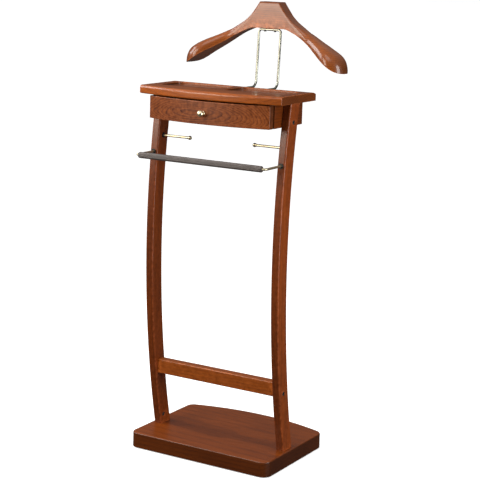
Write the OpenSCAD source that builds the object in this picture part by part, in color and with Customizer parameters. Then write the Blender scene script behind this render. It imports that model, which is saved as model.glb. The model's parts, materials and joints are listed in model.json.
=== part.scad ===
// Valet stand: a thick base board, two bowed posts, a drawer under a coin tray,
// a trouser bar, two tie pegs and a contoured suit hanger on a wire.
// Millimetres. X runs left to right, -Y is the front, Z is up from the floor.

/* [Base] */
// Width of the base board
base_w = 392; // [376:2:410]
// Depth of the base board along its straight sides
base_side_d = 274; // [266:1:284]
// How far the back edge of the base bows out
base_bow = 35; // [20:1:45]
// Thickness of the base board
base_t = 38; // [30:1:44]
// Corner radius of the base board
base_corner_r = 22; // [14:1:30]
// Thickness of the glides under the base
glide_t = 2.5; // [2:0.5:4]

/* [Posts] */
// Distance between the outer faces of the posts
posts_outer_w = 373; // [366:1:376]
// Thickness of a post, left to right
post_t = 20.5; // [20:0.5:22]
// Depth of a post, front to back
post_d = 41.5; // [38:0.5:46]
// How far the posts bow forward at the middle
post_bow = 42; // [30:1:48]

/* [Lower rail] */
// Height of the rail's underside above the floor
rail_z = 178; // [150:1:240]
// Height of the rail's section
rail_h = 36; // [32:1:44]
// Thickness of the rail, front to back
rail_t = 24; // [22:1:28]

/* [Tray] */
// Width of the tray
tray_w = 387; // [384:1:400]
// Height of the tray's top surface above the floor
tray_top_z = 897; // [880:1:920]
// Thickness of the tray
tray_t = 20; // [18:1:24]
// How far the tray's front edge bows out
tray_bow = 25; // [15:1:30]
// Radius of the tray's upper front edge
tray_edge_r = 7; // [4:0.5:9]
// Depth of the two coin pockets
pocket_deep = 5; // [4.5:0.5:6]

/* [Drawer] */
// Width of the drawer front
drawer_w = 328; // [322:1:331]
// Height of the drawer front
drawer_h = 53.5; // [51:0.5:54.5]
// How far the drawer front bows out
drawer_bow = 25; // [15:1:30]

/* [Trouser bar and pegs] */
// Height of the trouser bar
bar_z = 735; // [700:1:760]
// How far the bar's centre line stands forward of the middle of the stand
bar_reach = 163; // [140:1:164]
// Diameter of the bar and peg rods
rod_d = 6; // [5:0.5:7]
// Outer diameter of the foam grip
grip_d = 15; // [12:0.5:17]
// Height of the tie pegs
peg_z = 773; // [765:1:800]
// Free length of a tie peg, to the middle of its ball
peg_len = 75; // [50:1:90]

/* [Hanger] */
// Half of the hanger's width
hanger_half_w = 222; // [218:1:230]
// Height of the block's underside above the tray
hanger_rise = 134; // [120:1:160]
// Thickness of the hanger's block, front to back
block_t = 34; // [32:1:36]
// Distance between the two legs of the hanger wire
wire_gap = 61; // [50:1:66]

/* [Hidden] */
$fn = 64;

wood = "#8d4a22";
light_wood = "#b9743c";
pale_wood = "#c9a26f";
brass = "#c9a75a";
steel = "#c4c6c8";
foam = "#4c4648";
black = "#222222";

fit = 0.1;                       // clearance of a piece in its hole or groove, on the radius
big = 2000;                      // larger than the stand

// heights
base_top = glide_t + base_t;
tray_z = tray_top_z - tray_t;    // underside of the tray, where the posts end
case_z = 821;                    // bottom of the drawer case

// fore and aft places
base_front_y = -145.5;
base_back_y = base_front_y + base_side_d;
tray_side_y = -129;              // the tray's front corners
tray_back_y = 33.5;
case_front_y = -111.5;
case_back_y = 20;
drawer_back_of_front = -112;     // flat back of the drawer front
drawer_front_t = 17;             // thickness of the drawer front at its ends

// posts: an arc in the side view, through a foot, a head and a bulge forward
post_foot_y = -30;
post_head_y = -50;
post_in_x = posts_outer_w / 2 - post_t;
post_mid_x = posts_outer_w / 2 - post_t / 2;
post_chord = norm([post_head_y - post_foot_y, tray_z - base_top]);
post_r = post_chord * post_chord / (8 * post_bow) + post_bow / 2;
post_out = [(tray_z - base_top), -(post_head_y - post_foot_y)] / post_chord;
post_cy = (post_foot_y + post_head_y) / 2 + post_out[0] * (post_r - post_bow);
post_cz = (base_top + tray_z) / 2 + post_out[1] * (post_r - post_bow);
// y of a post's centre line at height z
function post_y(z) = post_cy - sqrt(post_r * post_r - (z - post_cz) * (z - post_cz));

// fastener sizes
bolt_d = 6;
head_d = 10;
head_h = 6;
head_hole_d = 10.6;
barrel_d = 10;
dowel_d = 8;

// joints
base_bolt_y = -42;
base_barrel_z = 64;
base_dowel_y = -22;
rail_bolt_z = rail_z + 8.5;
rail_dowel_z = rail_z + rail_h - 9;
rail_barrel_x = post_in_x - 26;
rail_y = post_y(rail_z + rail_h / 2);
case_bolt_z = 833;
case_dowel_z = 855;
case_t = 15;                     // thickness of the case sides
case_in_x = post_in_x - case_t;
case_bolt_y = post_y(case_bolt_z);
case_dowel_y = post_y(case_dowel_z);
back_board_t = 12;
back_dowel_zs = [836, 862];
// centres of the tray's dowels: in the posts' heads and in the case sides
tray_dowels_at = [
    for (s = [-1, 1]) each [
        [s * post_mid_x, post_head_y],
        [s * (post_in_x - case_t / 2), -97],
        [s * (post_in_x - case_t / 2), -6]
    ]
];
tray_dowel_len = 24;

// drawer
drawer_z = 820.5;
box_half_w = case_in_x - 1.5;    // outside of the drawer's sides
side_t = 10;
runner_h = 8;
runner_w = 12;
box_z = case_z + runner_h + 0.4;
box_top = 870;
box_back_y = 2;
bottom_t = 4;
bottom_z = box_z + 4;
groove = 4;                      // depth of the groove that holds the bottom
stop_z = 866;                    // underside of the stop block
knob_z = drawer_z + drawer_h / 2 - 0.5;
knob_face_y = drawer_back_of_front - drawer_front_t - drawer_bow - 0.05;
knob_out = 17;                   // how far the knob stands off the drawer front

// trouser bar and pegs
bar_bend_r = 8;
bar_depth = 25;                  // how deep the bar's ends go into the posts
grip_half_w = post_mid_x - bar_bend_r - 0.2;
bar_socket_y = post_y(bar_z) - post_d / 2;
peg_y = post_y(peg_z);
ball_d = 10;
ferrule_d = 13;
ferrule_t = 2;
ferrule_sleeve_d = 9;
ferrule_deep = 10;

// hanger and its wire
block_y = 153;                   // centre plane of the hanger's block
block_z = tray_top_z + hanger_rise - 0.4;
wire_leg_z = tray_z + 9.5;       // the legs go into the tray's back edge
wire_leg_deep = 60;
wire_r = 18;                     // bend between the legs and the uprights
wire_top_r = 7;
wire_lean = 3.5;                 // the uprights lean back, in degrees
wire_foot_y = 119.5;             // where the bend starts
wire_top_z = block_z - rod_d / 2 - 0.05;
screw_gap = 28;                  // between the two screws up into the block

// ---------- helpers ----------

// a rod of diameter d from point a, along direction v
module rod(a, v, d) {
    len = norm(v);
    turn = [0, acos(v[2] / len), atan2(v[1], v[0])];
    translate(a) rotate(turn) cylinder(h = len, d = d);
}

// the same solid on the left and on the right
module both_sides() {
    children();
    mirror([1, 0, 0]) children();
}

// a box from its lowest to its highest corner
module box(a, b) {
    translate(a) cube(b - a);
}

// rectangle a..b with round corners
module round_rect(a, b, r) {
    translate([a[0] + r, a[1]]) square([b[0] - a[0] - 2 * r, b[1] - a[1]]);
    translate([a[0], a[1] + r]) square([b[0] - a[0], b[1] - a[1] - 2 * r]);
    for (x = [a[0] + r, b[0] - r], y = [a[1] + r, b[1] - r])
        translate([x, y]) circle(r);
}

// the same with its corners rounded in short flats, for sections that are swept
module flat_round_rect(w, h, r) {
    steps = 4;
    polygon([
        for (c = [[1, 1, 0], [-1, 1, 90], [-1, -1, 180], [1, -1, 270]], i = [0 : steps])
            let (a = c[2] + 90 * i / steps)
            [c[0] * (w / 2 - r) + r * cos(a), c[1] * (h / 2 - r) + r * sin(a)]
    ]);
}

// radius of an arc from its chord and its rise
function arc_r(chord, rise) = chord * chord / (8 * rise) + rise / 2;

// a ring of the given section, swept about an axis that lies along X
module arc_sweep(r, from, to) {
    rotate([0, 90, 0]) rotate([0, 0, from]) rotate_extrude(angle = to - from, $fn = 720)
        translate([r, 0]) children();
}

// cubic curve through a list of [x, value] pairs, level where the list turns or runs flat
function secant(p, i) = (p[i + 1][1] - p[i][1]) / (p[i + 1][0] - p[i][0]);
function slope(p, i) =
    i == 0 ? secant(p, 0) :
    i == len(p) - 1 ? secant(p, i - 1) :
    secant(p, i - 1) * secant(p, i) <= 0 ? 0 : (secant(p, i - 1) + secant(p, i)) / 2;
function span_of(p, x, i = 0) =
    (i >= len(p) - 2 || x < p[i + 1][0]) ? i : span_of(p, x, i + 1);
function curve(p, x) =
    let (
        i = span_of(p, x),
        w = p[i + 1][0] - p[i][0],
        t = min(max((x - p[i][0]) / w, 0), 1)
    )
    p[i][1] * (1 + 2 * t) * (1 - t) * (1 - t)
    + slope(p, i) * w * t * (1 - t) * (1 - t)
    + p[i + 1][1] * t * t * (3 - 2 * t)
    + slope(p, i + 1) * w * t * t * (t - 1);

// ---------- base ----------

// outline of the base: straight front and sides, bowed back, round corners
module base_outline() {
    r = base_corner_r;
    big_r = arc_r(base_w, base_bow);
    cy = base_back_y + base_bow - big_r;
    corner_x = base_w / 2 - r;
    corner_y = cy + sqrt(pow(big_r - r, 2) - pow(corner_x, 2));
    touch_x = corner_x * big_r / (big_r - r);
    translate([-corner_x, base_front_y]) square([2 * corner_x, r + 1]);
    translate([-base_w / 2, base_front_y + r]) square([base_w, corner_y - base_front_y - r]);
    for (s = [-1, 1]) {
        translate([s * corner_x, base_front_y + r]) circle(r);
        translate([s * corner_x, corner_y]) circle(r);
    }
    intersection() {
        translate([0, cy]) circle(big_r, $fn = 720);
        translate([-touch_x, corner_y - 1]) square([2 * touch_x, big_r]);
    }
}

module base_board() {
    color(wood) difference() {
        translate([0, 0, glide_t]) linear_extrude(base_t) base_outline();
        both_sides() {
            translate([post_mid_x, base_bolt_y, 0]) cylinder(h = big, d = bolt_d + 2 * fit);
            translate([post_mid_x, base_bolt_y, 0]) cylinder(h = glide_t + 10, d = 15);
            translate([post_mid_x, base_dowel_y, base_top - 20])
                cylinder(h = big, d = dowel_d + 2 * fit);
        }
    }
}

module base_glides() {
    glide_d = 24;
    color(black)
        for (x = [-1, 1] * (base_w / 2 - 30), y = [base_front_y + 28, base_back_y - 20])
            translate([x, y, 0]) cylinder(h = glide_t, d = glide_d);
}

module base_bolts() {
    head_z = glide_t + 10 - 1.5;
    color(steel) both_sides() translate([post_mid_x, base_bolt_y, 0]) {
        difference() {
            translate([0, 0, head_z - head_h]) cylinder(h = head_h, d = head_d);
            translate([0, 0, head_z - head_h - 1]) cylinder(h = 4, d = 5.8, $fn = 6);
        }
        translate([0, 0, head_z]) cylinder(h = base_barrel_z - head_z, d = bolt_d);
    }
}

module base_washers() {
    color(steel) both_sides() translate([post_mid_x, base_bolt_y, glide_t + 8.5]) difference() {
        cylinder(h = 1.5, d = 14);
        translate([0, 0, -1]) cylinder(h = 4, d = bolt_d + 2 * fit);
    }
}

module base_barrel_nuts() {
    color(steel) both_sides() difference() {
        rod([post_in_x + 0.5, base_bolt_y, base_barrel_z], [15, 0, 0], barrel_d);
        translate([post_mid_x, base_bolt_y, 0])
            cylinder(h = base_barrel_z + fit, d = bolt_d + 2 * fit);
    }
}

module base_dowels() {
    color(pale_wood) both_sides()
        translate([post_mid_x, base_dowel_y, base_top - 19]) cylinder(h = 38, d = dowel_d);
}

// ---------- posts and lower rail ----------

// the post on the right; the left one is its mirror image
module post() {
    bar_hole = rod_d + 2 * fit;
    difference() {
        intersection() {
            translate([post_mid_x, post_cy, post_cz])
                arc_sweep(post_r, 250, 290) flat_round_rect(post_d, post_t, 3);
            box([0, -big, base_top], [big, big, tray_z]);
        }
        // foot: bolt, barrel nut and dowel
        translate([post_mid_x, base_bolt_y, 0])
            cylinder(h = base_barrel_z + 12, d = bolt_d + 2 * fit);
        rod([post_in_x - 1, base_bolt_y, base_barrel_z], [17, 0, 0], barrel_d + 2 * fit);
        translate([post_mid_x, base_dowel_y, 0])
            cylinder(h = base_top + 20, d = dowel_d + 2 * fit);
        // lower rail and drawer case: one bolt and one dowel each
        for (at = [[rail_y, rail_bolt_z], [case_bolt_y, case_bolt_z]]) {
            rod([post_in_x - 1, at[0], at[1]], [big, 0, 0], bolt_d + 2 * fit);
            rod([post_mid_x + post_t / 2 - 7, at[0], at[1]], [big, 0, 0], head_hole_d);
        }
        for (at = [[rail_y, rail_dowel_z], [case_dowel_y, case_dowel_z]])
            rod([post_in_x - 1, at[0], at[1]], [13.5, 0, 0], dowel_d + 2 * fit);
        // trouser bar, in from the front, and tie peg, in from the inner side
        rod([post_mid_x, bar_socket_y + bar_depth + fit, bar_z], [0, -big, 0], bar_hole);
        rod([post_mid_x, bar_socket_y + ferrule_deep + fit, bar_z], [0, -big, 0],
            ferrule_sleeve_d + 2 * fit);
        rod([post_in_x + 15, peg_y, peg_z], [-big, 0, 0], bar_hole);
        rod([post_in_x + ferrule_deep + fit, peg_y, peg_z], [-big, 0, 0],
            ferrule_sleeve_d + 2 * fit);
        // dowel into the tray
        translate([post_mid_x, post_head_y, tray_z - tray_dowel_len / 2 - 0.5])
            cylinder(h = big, d = dowel_d + 2 * fit);
    }
}

module right_post() {
    color(wood) post();
}

module left_post() {
    color(wood) mirror([1, 0, 0]) post();
}

module lower_rail() {
    r = 3;
    color(wood) difference() {
        translate([-post_in_x, rail_y, rail_z + rail_h / 2]) rotate([0, 90, 0])
            linear_extrude(2 * post_in_x)
                round_rect([-rail_h / 2, -rail_t / 2], [rail_h / 2, rail_t / 2], r);
        both_sides() {
            rod([post_in_x - 40, rail_y, rail_bolt_z], [big, 0, 0], bolt_d + 2 * fit);
            rod([rail_barrel_x, rail_y - 8 - fit, rail_bolt_z], [0, big, 0], barrel_d + 2 * fit);
            rod([post_in_x - 27.5, rail_y, rail_dowel_z], [big, 0, 0], dowel_d + 2 * fit);
        }
    }
}

module rail_bolts() {
    color(steel) both_sides() difference() {
        union() {
            rod([rail_barrel_x - 8, rail_y, rail_bolt_z],
                [post_mid_x + post_t / 2 - 7 - (rail_barrel_x - 8), 0, 0], bolt_d);
            rod([post_mid_x + post_t / 2 - 7, rail_y, rail_bolt_z], [head_h, 0, 0], head_d);
        }
        rod([post_mid_x + post_t / 2 - 4, rail_y, rail_bolt_z], [big, 0, 0], 5.8, $fn = 6);
    }
}

module rail_barrel_nuts() {
    color(steel) both_sides() difference() {
        rod([rail_barrel_x, rail_y - 8, rail_bolt_z], [0, 16, 0], barrel_d);
        rod([rail_barrel_x - 20, rail_y, rail_bolt_z], [big, 0, 0], bolt_d + 2 * fit);
    }
}

module rail_dowels() {
    color(pale_wood) both_sides()
        rod([post_in_x - 27, rail_y, rail_dowel_z], [39, 0, 0], dowel_d);
}

// ---------- tray ----------

// section of a round front edge, from the middle of the disc to its rim
module soft_rim(r, t, edge_r) {
    steps = 10;
    low_r = edge_r / 2;
    polygon(concat(
        [[0, 0]],
        [for (i = [0 : steps]) let (a = 90 * i / steps)
            [r - low_r * (1 - sin(a)), low_r * (1 - cos(a))]],
        [for (i = [0 : steps]) let (a = 90 * i / steps)
            [r - edge_r * (1 - cos(a)), t - edge_r * (1 - sin(a))]],
        [[0, t]]
    ));
}

module tray_top() {
    big_r = arc_r(tray_w, tray_bow);
    pocket = [[10, -85], [168, 6]];
    color(wood) difference() {
        intersection() {
            translate([0, tray_side_y - tray_bow + big_r, tray_z])
                rotate_extrude($fn = 720) soft_rim(big_r, tray_t, tray_edge_r);
            translate([-tray_w / 2, 0, tray_z]) rotate([90, 0, 90]) linear_extrude(tray_w)
                polygon([
                    [tray_side_y - 2 * tray_bow, 0],
                    [tray_back_y, 0],
                    [tray_back_y, tray_t - 6],
                    [tray_back_y - 6, tray_t - 2.2],
                    [tray_back_y - 18, tray_t],
                    [tray_side_y - 2 * tray_bow, tray_t]
                ]);
        }
        both_sides() {
            translate([0, 0, tray_top_z - pocket_deep]) linear_extrude(big)
                round_rect(pocket[0], pocket[1], 14);
            rod([wire_gap / 2, tray_back_y - wire_leg_deep - fit, wire_leg_z], [0, big, 0],
                rod_d + 2 * fit);
            translate([wire_gap / 2, -14, 0]) cylinder(h = wire_leg_z, d = 4 + 2 * fit);
        }
        for (p = tray_dowels_at)
            translate([p[0], p[1], 0]) cylinder(h = tray_z + tray_dowel_len / 2 + 0.2,
                d = dowel_d + 2 * fit);
        translate([0, -99, 0]) cylinder(h = tray_z + 8, d = 3 + 2 * fit);
    }
}

module tray_dowels() {
    color(pale_wood) for (p = tray_dowels_at)
        translate([p[0], p[1], tray_z - tray_dowel_len / 2])
            cylinder(h = tray_dowel_len, d = dowel_d);
}

// ---------- drawer case ----------

module case_side() {
    difference() {
        box([case_in_x, case_front_y, case_z], [post_in_x, case_back_y, tray_z]);
        rod([post_in_x - 13.2, case_bolt_y, case_bolt_z], [big, 0, 0], 9 + 2 * fit);
        rod([post_in_x - 10.2, case_dowel_y, case_dowel_z], [big, 0, 0], dowel_d + 2 * fit);
        for (z = back_dowel_zs)
            rod([0, case_back_y - back_board_t / 2, z], [case_in_x + 9.2, 0, 0], 6 + 2 * fit);
        for (p = tray_dowels_at) if (p[0] > 0)
            translate([p[0], p[1], tray_z - tray_dowel_len / 2 - 0.2])
                cylinder(h = big, d = dowel_d + 2 * fit);
        for (y = [-95, -10])
            rod([0, y, case_z + runner_h / 2], [case_in_x + 8.2, 0, 0], 3 + 2 * fit);
    }
}

module case_right_side() {
    color(wood) case_side();
}

module case_left_side() {
    color(wood) mirror([1, 0, 0]) case_side();
}

module case_back() {
    color(wood) difference() {
        box([-case_in_x, case_back_y - back_board_t, case_z], [case_in_x, case_back_y, tray_z]);
        both_sides() for (z = back_dowel_zs)
            rod([case_in_x - 11.2, case_back_y - back_board_t / 2, z], [big, 0, 0], 6 + 2 * fit);
    }
}

module case_back_dowels() {
    color(pale_wood) both_sides() for (z = back_dowel_zs)
        rod([case_in_x - 11, case_back_y - back_board_t / 2, z], [20, 0, 0], 6);
}

module case_bolts() {
    color(steel) both_sides() difference() {
        union() {
            rod([post_in_x - 12, case_bolt_y, case_bolt_z], [post_t + 5, 0, 0], bolt_d);
            rod([post_mid_x + post_t / 2 - 7, case_bolt_y, case_bolt_z], [head_h, 0, 0], head_d);
        }
        rod([post_mid_x + post_t / 2 - 4, case_bolt_y, case_bolt_z], [big, 0, 0], 5.8, $fn = 6);
    }
}

module case_inserts() {
    color(brass) both_sides() difference() {
        rod([post_in_x - 13, case_bolt_y, case_bolt_z], [13, 0, 0], 9);
        rod([post_in_x - 20, case_bolt_y, case_bolt_z], [big, 0, 0], bolt_d + 2 * fit);
    }
}

module case_dowels() {
    color(pale_wood) both_sides()
        rod([post_in_x - 10, case_dowel_y, case_dowel_z], [22, 0, 0], dowel_d);
}

module runner() {
    difference() {
        box([case_in_x - runner_w, case_front_y + 1.5, case_z],
            [case_in_x, case_back_y - back_board_t, case_z + runner_h]);
        for (y = [-95, -10]) {
            rod([0, y, case_z + runner_h / 2], [big, 0, 0], 3 + 2 * fit);
            rod([0, y, case_z + runner_h / 2], [case_in_x - runner_w + 2, 0, 0], 6.4);
        }
    }
}

module right_runner() {
    color(pale_wood) runner();
}

module left_runner() {
    color(pale_wood) mirror([1, 0, 0]) runner();
}

module runner_screws() {
    color(steel) both_sides() for (y = [-95, -10]) {
        rod([case_in_x - runner_w + 0.2, y, case_z + runner_h / 2], [1.8, 0, 0], 6);
        rod([case_in_x - runner_w + 2, y, case_z + runner_h / 2], [18, 0, 0], 3);
    }
}

module drawer_stop() {
    color(pale_wood) difference() {
        box([-20, -104, stop_z], [20, -94, tray_z]);
        translate([0, -99, 0]) cylinder(h = big, d = 3 + 2 * fit);
        translate([0, -99, 0]) cylinder(h = stop_z + 2.2, d = 6.4);
    }
}

module stop_screw() {
    color(steel) translate([0, -99, stop_z + 0.2]) {
        cylinder(h = 2, d = 6);
        cylinder(h = 18, d = 3);
    }
}

// ---------- drawer ----------

module drawer_front() {
    chord = drawer_w;
    r = arc_r(chord, drawer_bow);
    front_y = drawer_back_of_front - drawer_front_t;
    color(light_wood) difference() {
        translate([0, 0, drawer_z]) linear_extrude(drawer_h) intersection() {
            translate([0, front_y - drawer_bow + r]) circle(r, $fn = 720);
            translate([-drawer_w / 2, front_y - drawer_bow])
                square([drawer_w, drawer_bow + drawer_front_t]);
        }
        // groove for the bottom
        box([-box_half_w + side_t - groove - fit, drawer_back_of_front - 5, bottom_z - fit],
            [box_half_w - side_t + groove + fit, big, bottom_z + bottom_t + fit]);
        // knob screw with its deep counterbore
        rod([0, drawer_back_of_front + 1, knob_z], [0, -big, 0], 4 + 2 * fit);
        rod([0, drawer_back_of_front + 1, knob_z], [0, -15, 0], 12);
        both_sides() for (z = [box_z + 15, box_z + 32])
            rod([box_half_w - side_t / 2, drawer_back_of_front - 12.2, z], [0, big, 0],
                6 + 2 * fit);
    }
}

module drawer_side() {
    in_x = box_half_w - side_t;
    difference() {
        box([in_x, drawer_back_of_front, box_z], [box_half_w, box_back_y, box_top]);
        box([0, -big, bottom_z - fit], [in_x + groove + fit, big, bottom_z + bottom_t + fit]);
        for (z = [box_z + 15, box_z + 32]) {
            rod([in_x + side_t / 2, drawer_back_of_front - 1, z], [0, 16.2, 0], 6 + 2 * fit);
            rod([0, box_back_y - 5, z], [big, 0, 0], 1.6 + 2 * fit);
        }
    }
}

module drawer_right_side() {
    color(pale_wood) drawer_side();
}

module drawer_left_side() {
    color(pale_wood) mirror([1, 0, 0]) drawer_side();
}

module drawer_back() {
    in_x = box_half_w - side_t;
    color(pale_wood) difference() {
        box([-in_x, box_back_y - 10, bottom_z + bottom_t + fit], [in_x, box_back_y, box_top]);
        both_sides() for (z = [box_z + 15, box_z + 32])
            rod([in_x - 15.2, box_back_y - 5, z], [big, 0, 0], 1.6 + 2 * fit);
    }
}

module drawer_bottom() {
    half = box_half_w - side_t + groove;
    color(pale_wood)
        box([-half, drawer_back_of_front - 5 + fit, bottom_z],
            [half, box_back_y, bottom_z + bottom_t]);
}

module drawer_dowels() {
    color(pale_wood) both_sides() for (z = [box_z + 15, box_z + 32])
        rod([box_half_w - side_t / 2, drawer_back_of_front - 12, z], [0, 27, 0], 6);
}

module drawer_brads() {
    color(steel) both_sides() for (z = [box_z + 15, box_z + 32])
        rod([box_half_w - side_t - 15, box_back_y - 5, z], [25, 0, 0], 1.6);
}

// a mushroom knob: foot, waist and ball in one turned piece
module drawer_knob() {
    ball_r = 8;
    color(brass) translate([0, knob_face_y, knob_z]) rotate([90, 0, 0]) difference() {
        rotate_extrude() intersection() {
            union() {
                square([6, 1.8]);
                square([3.6, knob_out - ball_r]);
                translate([0, knob_out - ball_r]) circle(ball_r);
            }
            square([ball_r, knob_out]);
        }
        translate([0, 0, -1]) cylinder(h = 10, d = 4 + 2 * fit);
    }
}

module knob_screw() {
    tip_y = knob_face_y - 8;
    head_y = drawer_back_of_front - 14;
    color(steel) difference() {
        union() {
            rod([0, tip_y, knob_z], [0, head_y - tip_y, 0], 4);
            rod([0, head_y, knob_z], [0, 2.6, 0], 8);
        }
        translate([-0.6, head_y + 1.4, knob_z - 5]) cube([1.2, 10, 10]);
    }
}

// ---------- trouser bar and pegs ----------

module trouser_bar() {
    arm_start = bar_socket_y + bar_depth;
    r = bar_bend_r;
    color(brass) {
        both_sides() {
            rod([post_mid_x, arm_start, bar_z], [0, -(arm_start + bar_reach - r), 0], rod_d);
            translate([post_mid_x - r, -bar_reach + r, bar_z]) rotate([0, 0, -90])
                rotate_extrude(angle = 90) translate([r, 0]) circle(d = rod_d);
        }
        rod([-post_mid_x + r, -bar_reach, bar_z], [2 * (post_mid_x - r), 0, 0], rod_d);
    }
}

module bar_grip() {
    color(foam) difference() {
        rod([-grip_half_w, -bar_reach, bar_z], [2 * grip_half_w, 0, 0], grip_d);
        rod([-big / 2, -bar_reach, bar_z], [big, 0, 0], rod_d + 2 * fit);
    }
}

// a flanged sleeve with its flange at the origin and its sleeve along -Z
module ferrule() {
    difference() {
        union() {
            cylinder(h = ferrule_t, d = ferrule_d);
            translate([0, 0, -ferrule_deep]) cylinder(h = ferrule_deep, d = ferrule_sleeve_d);
        }
        translate([0, 0, -ferrule_deep - 1]) cylinder(h = big, d = rod_d + 2 * fit);
    }
}

module bar_ferrules() {
    // the flange stands just off the post's curved front
    color(black) both_sides()
        translate([post_mid_x, bar_socket_y - 0.8, bar_z]) rotate([90, 0, 0]) ferrule();
}

module peg_ferrules() {
    color(black) both_sides()
        translate([post_in_x - 0.05, peg_y, peg_z]) rotate([0, -90, 0]) ferrule();
}

module peg() {
    rod([post_in_x - peg_len, peg_y, peg_z], [peg_len + 14, 0, 0], rod_d);
}

module right_peg() {
    color(brass) peg();
}

module left_peg() {
    color(brass) mirror([1, 0, 0]) peg();
}

module peg_balls() {
    // turned about the peg's own axis, with a blind bore from the rod's side
    color(brass) both_sides() translate([post_in_x - peg_len, peg_y, peg_z])
        rotate([0, 90, 0]) rotate_extrude() difference() {
            circle(d = ball_d);
            translate([-ball_d, -ball_d]) square([ball_d, 2 * ball_d]);
            translate([-1, -fit]) square([1 + rod_d / 2 + fit, ball_d]);
        }
}

// ---------- hanger wire ----------

module hanger_wire() {
    turn = 90 - wire_lean;
    lap = 0.4;                   // how far a rod runs on into a bend
    bend_d = rod_d - 0.06;       // so that the bend's wall stays inside the rod's there
    leg_x = wire_gap / 2;
    up_y = wire_foot_y + wire_r * sin(turn);
    up_z = wire_leg_z + wire_r * (1 - cos(turn));
    up_len = (wire_top_z - up_z) / cos(wire_lean) - wire_top_r;
    leg_start = tray_back_y - wire_leg_deep;
    color(steel) difference() {
        union() {
            both_sides() {
                rod([leg_x, leg_start, wire_leg_z], [0, wire_foot_y - leg_start + lap, 0], rod_d);
                translate([leg_x, wire_foot_y, wire_leg_z + wire_r]) rotate([0, 90, 0])
                    rotate_extrude(angle = turn) translate([wire_r, 0]) circle(d = bend_d);
            }
            // uprights, top corners and cross-bar, leaning back together
            translate([0, up_y, up_z]) rotate([-wire_lean, 0, 0]) {
                both_sides() {
                    translate([leg_x, 0, -lap]) cylinder(h = up_len + lap, d = rod_d);
                    translate([leg_x - wire_top_r, 0, up_len]) rotate([90, 0, 0])
                        rotate_extrude(angle = 90) translate([wire_top_r, 0]) circle(d = rod_d);
                }
                rod([-leg_x + wire_top_r, 0, up_len + wire_top_r],
                    [2 * (leg_x - wire_top_r), 0, 0], rod_d);
            }
        }
        for (x = [-1, 1] * screw_gap / 2)
            translate([x, wire_top_y(), 0]) cylinder(h = big, d = 3.4 + 2 * fit);
    }
}

module wire_screws() {
    head_z = tray_z - 1.8;
    color(steel) both_sides() translate([wire_gap / 2, -14, 0]) {
        translate([0, 0, head_z]) cylinder(h = 1.8, d = 7);
        translate([0, 0, tray_z]) cylinder(h = wire_leg_z - rod_d / 2 - tray_z - 0.05, d = 4);
    }
}

// where the wire's cross-bar runs, under the block
function wire_top_y() =
    wire_foot_y + wire_r * sin(90 - wire_lean)
    + tan(wire_lean) * (wire_top_z - wire_leg_z - wire_r * (1 - cos(90 - wire_lean)));

module hanger_screws() {
    color(steel) for (x = [-1, 1] * screw_gap / 2)
        translate([x, wire_top_y(), wire_top_z]) {
            translate([0, 0, -rod_d / 2 - 2.2]) cylinder(h = 2.2, d = 6.4);
            translate([0, 0, -rod_d / 2 - 0.2]) cylinder(h = 26, d = 3.4);
        }
}

// ---------- hanger ----------

block_half_w = 28;               // half of the block's flat top
round_from = 188;                // where the paddle's end starts to round off, in plan
drop_from = 202;                 // and where its top starts to fall away
// thickness of the wood from the block's shoulder outwards
thick = [[28, 64.5], [40, 47.5], [50, 35], [64, 26.5], [80, 23], [100, 22.8],
    [120, 25.5], [145, 29], [170, 33], [190, 36], [225, 36.5]];
// underside, below the block's underside
under = [[0, 0], [44, 0], [56, -2.5], [66, -6.5], [80, -12.5], [100, -23.5], [120, -36],
    [145, -51.5], [170, -66.5], [190, -79.5], [207, -89.5], [219, -94], [225, -95]];
// front and back edges, from the block's centre plane
front = [[0, -17], [44, -17], [56, -18], [88, -20.5], [100, -22.5], [120, -28.5],
    [145, -43.5], [170, -59.5], [190, -65], [225, -65]];
back = [[0, 17], [100, 18], [130, 17.5], [145, 16], [170, 13], [190, 11], [225, 11]];

// shrinks from 1 to 0 between a and the tip, as a quarter of an ellipse does
function round_off(x, a) =
    x <= a ? 1 : sqrt(max(0, 1 - pow((x - a) / (225 - a), 2)));

// how boxy a section is: square in the block, a low dome along the arms
function boxiness(x) = x < 44 ? 14 : x > 112 ? 2.5 : 14 - 11.5 * sin(90 * (x - 44) / 68);

function wood_thickness(x) =
    (x <= block_half_w ? thick[0][1] : curve(thick, x)) * round_off(x, drop_from);

// section of the hanger at a distance x from its middle: flat below, domed above
function hanger_ring(x, steps) =
    let (
        s = min(abs(x) * 225 / hanger_half_w, 224.6),
        mid = (curve(front, s) + curve(back, s)) / 2,
        half = (curve(back, s) - curve(front, s)) / 2 * (block_t / 34) * round_off(s, round_from),
        power = 2 / boxiness(s)
    )
    [for (i = [0 : steps])
        let (a = 180 * i / steps, c = cos(a))
        [
            x,
            block_y + mid + half * sign(c) * pow(abs(c), power),
            block_z + curve(under, s) + wood_thickness(s) * pow(max(sin(a), 0), power)
        ]
    ];

// distances from the middle at which sections are taken, closer near the tip
function half_stations() = [
    27.99, 28.3, 32, 36, 40, 45, 50, 57, 64, 72, 80, 90, 100, 110, 120, 132, 145, 158, 170,
    180, 188, 195, 202, 208, 213, 217, 220, 222, 223.5, 224.5
];

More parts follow.
